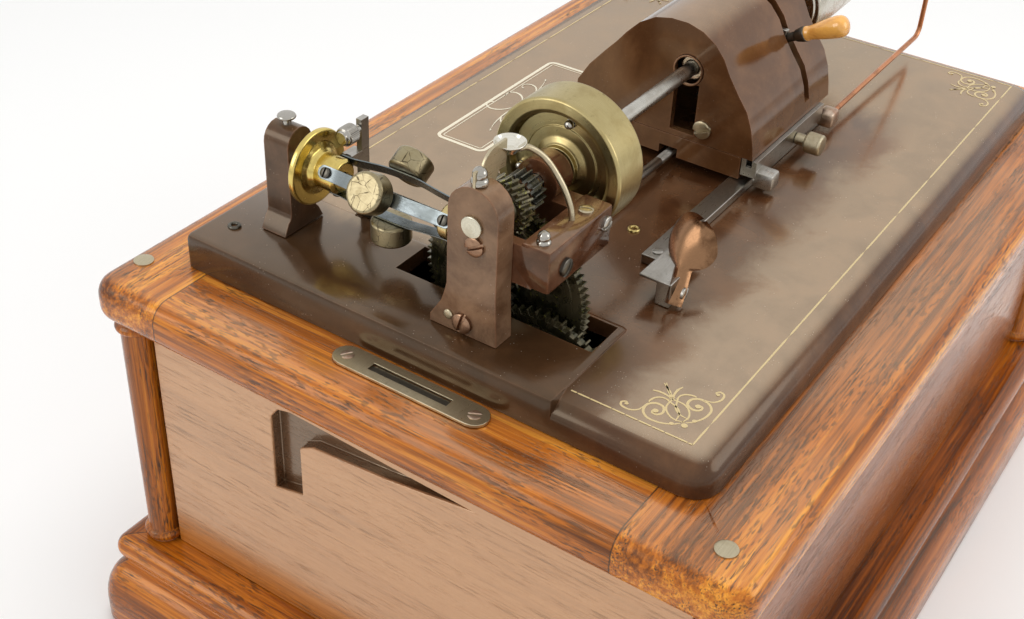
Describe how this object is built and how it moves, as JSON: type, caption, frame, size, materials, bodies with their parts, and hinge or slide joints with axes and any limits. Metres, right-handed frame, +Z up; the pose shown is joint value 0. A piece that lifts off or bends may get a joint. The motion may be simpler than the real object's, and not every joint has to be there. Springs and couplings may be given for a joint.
{
  "type": "cylinder phonograph",
  "caption": "Oak table-top cylinder phonograph: geared spring motor with fly-weight governor, heavy flywheel, and a mandrel that travels on a sliding carriage.",
  "frame": {"origin": "on the floor at the middle of the case's length, 4.5 mm in front of the middle of its width", "axes": "+X along the mandrel, away from the governor end; the front faces -Y; +Z up"},
  "size_m": [0.5396, 0.36, 0.315],
  "materials": {
    "oak": "varnished quartered oak",
    "enamel": "glossy dark maroon enamel",
    "nickel": "aged nickel plate",
    "brass": "machined, oiled",
    "steel": "machined, oiled",
    "dark_steel": "blackened by oil",
    "copper": "worn copper plate",
    "handle_wood": "polished"
  },
  "bodies": {
    "case": {"base_moulding": "oak", "column_front_left": "oak", "column_back_left": "oak", "column_front_right": "oak", "column_back_right": "oak", "panel_left": "oak", "panel_right": "oak", "panel_front": "oak", "panel_back": "oak", "case_rim": "oak", "bedplate": "enamel", "feed_bearing": "enamel", "near_post": "enamel", "bridge_casting": "enamel", "governor_post": "enamel", "lid_catch_plate": "nickel", "friction_bracket": "nickel", "oil_cup": "nickel", "front_rail": "steel", "rear_rail": "steel", "motor_plate_left": "steel", "motor_plate_right": "steel", "stop_bracket": "dark_steel"},
    "main_shaft": {"main_shaft": "steel", "worm_wheel": "brass", "shaft_pinion": "dark_steel", "flywheel": "brass"},
    "feed_screw": {"feed_screw": "steel", "intermediate_gear": "brass"},
    "centre_arbor": {"centre_arbor": "steel", "centre_wheel": "brass"},
    "barrel": {"barrel_gear": "brass", "spring_barrel": "steel", "mainspring": "dark_steel"},
    "winding": {"winding_arbor": "steel", "crank_arm": "nickel"},
    "crank_knob": {"crank_knob": "handle_wood"},
    "pawl": {"ratchet_pawl": "steel"},
    "governor": {"governor_spindle": "steel", "governor_spring_1": "steel", "governor_spring_2": "steel", "governor_spring_3": "steel"},
    "governor_disc": {"governor_disc": "brass"},
    "weight_1": {"governor_weight_1": "nickel"},
    "weight_2": {"governor_weight_2": "nickel"},
    "weight_3": {"governor_weight_3": "nickel"},
    "friction": {"friction_lever": "brass"},
    "speed_screw": {"speed_screw": "nickel"},
    "carriage": {"carriage_base": "enamel", "carriage_cover": "enamel", "guide_channel": "steel", "clamp_block_far": "copper"},
    "clamp_screw": {"clamp_screw": "nickel"},
    "swing_rod": {"swing_rod": "copper"},
    "lift_lever": {"lift_lever": "steel", "half_nut": "brass", "lift_handle": "handle_wood"},
    "mandrel": {"mandrel": "nickel"},
    "stop_lever": {"stop_lever": "copper"}
  },
  "joints": [
    {"name": "main_shaft_spin", "type": "hinge", "parent": "case", "child": "main_shaft", "pos_m": [-0.184, -0.006, 0.284], "axis": [1, 0, 0], "continuous": true},
    {"name": "feed_screw_spin", "type": "hinge", "parent": "case", "child": "feed_screw", "pos_m": [-0.183, 0, 0.23638], "axis": [1, 0, 0], "continuous": true},
    {"name": "centre_arbor_spin", "type": "hinge", "parent": "case", "child": "centre_arbor", "pos_m": [-0.179, -0.026, 0.19603], "axis": [1, 0, 0], "continuous": true},
    {"name": "barrel_spin", "type": "hinge", "parent": "case", "child": "barrel", "pos_m": [-0.131, -0.026, 0.13603], "axis": [1, 0, 0], "continuous": true},
    {"name": "winding_spin", "type": "hinge", "parent": "case", "child": "winding", "pos_m": [-0.179, -0.026, 0.13603], "axis": [1, 0, 0], "continuous": true},
    {"name": "crank_knob_spin", "type": "hinge", "parent": "winding", "child": "crank_knob", "pos_m": [0.26, -0.026, 0.06103], "axis": [1, 0, 0], "continuous": true},
    {"name": "pawl_lift", "type": "hinge", "parent": "case", "child": "pawl", "pos_m": [-0.04, -0.0458, 0.16003], "axis": [1, 0, 0], "range_deg": [-20, 0]},
    {"name": "governor_spin", "type": "hinge", "parent": "case", "child": "governor", "pos_m": [-0.164, -0.0305, 0.267], "axis": [0, 1, 0], "continuous": true},
    {"name": "governor_disc_slide", "type": "slide", "parent": "governor", "child": "governor_disc", "axis": [0, -1, 0], "range_m": [0, 0.002], "stiffness_N_per_m": 400, "deforming": ["governor_spring_1", "governor_spring_2", "governor_spring_3"]},
    {"name": "weight_1_slide", "type": "slide", "parent": "governor", "child": "weight_1", "axis": [-0.8041, -0.3714, 0.4642], "range_m": [0, 0.00269]},
    {"name": "weight_2_slide", "type": "slide", "parent": "governor", "child": "weight_2", "axis": [0.8041, -0.3714, 0.4642], "range_m": [0, 0.00269]},
    {"name": "weight_3_slide", "type": "slide", "parent": "governor", "child": "weight_3", "axis": [0, -0.3714, -0.9285], "range_m": [0, 0.00269]},
    {"name": "friction_lever_swing", "type": "hinge", "parent": "case", "child": "friction", "pos_m": [-0.1445, 0.084, 0.242], "axis": [1, 0, 0], "range_deg": [0, 4]},
    {"name": "speed_screw_spin", "type": "hinge", "parent": "friction", "child": "speed_screw", "pos_m": [-0.1448, 0.084, 0.28], "axis": [1, 0, 0], "continuous": true},
    {"name": "carriage_travel", "type": "slide", "parent": "case", "child": "carriage", "axis": [1, 0, 0], "range_m": [-0.064, 0.025]},
    {"name": "clamp_screw_spin", "type": "hinge", "parent": "carriage", "child": "clamp_screw", "pos_m": [0.038, -0.0476, 0.2415], "axis": [0, 1, 0], "continuous": true},
    {"name": "swing_rod_swing", "type": "hinge", "parent": "carriage", "child": "swing_rod", "pos_m": [0.0803, -0.0488, 0.2385], "axis": [1, 0, 0], "range_deg": [-10, 30]},
    {"name": "lift_lever_lift", "type": "hinge", "parent": "carriage", "child": "lift_lever", "pos_m": [0.053, 0.043, 0.2545], "axis": [-1, 0, 0], "range_deg": [0, 8]},
    {"name": "mandrel_spin", "type": "hinge", "parent": "carriage", "child": "mandrel", "pos_m": [-0.0055, -0.006, 0.284], "axis": [1, 0, 0], "continuous": true},
    {"name": "stop_lever_turn", "type": "hinge", "parent": "case", "child": "stop_lever", "pos_m": [-0.112, -0.063, 0.2373], "axis": [0, 1, 0], "range_deg": [-25, 10]}
  ],
  "couplings": [
    {"joint": "feed_screw_spin", "follows": "main_shaft_spin", "ratio": -0.2},
    {"joint": "centre_arbor_spin", "follows": "main_shaft_spin", "ratio": 0.04},
    {"joint": "barrel_spin", "follows": "main_shaft_spin", "ratio": -0.01},
    {"joint": "governor_spin", "follows": "main_shaft_spin", "ratio": -12},
    {"joint": "mandrel_spin", "follows": "main_shaft_spin", "ratio": 1},
    {"joint": "weight_1_slide", "follows": "governor_disc_slide", "ratio": 1.3463},
    {"joint": "weight_2_slide", "follows": "governor_disc_slide", "ratio": 1.3463},
    {"joint": "weight_3_slide", "follows": "governor_disc_slide", "ratio": 1.3463}
  ]
}
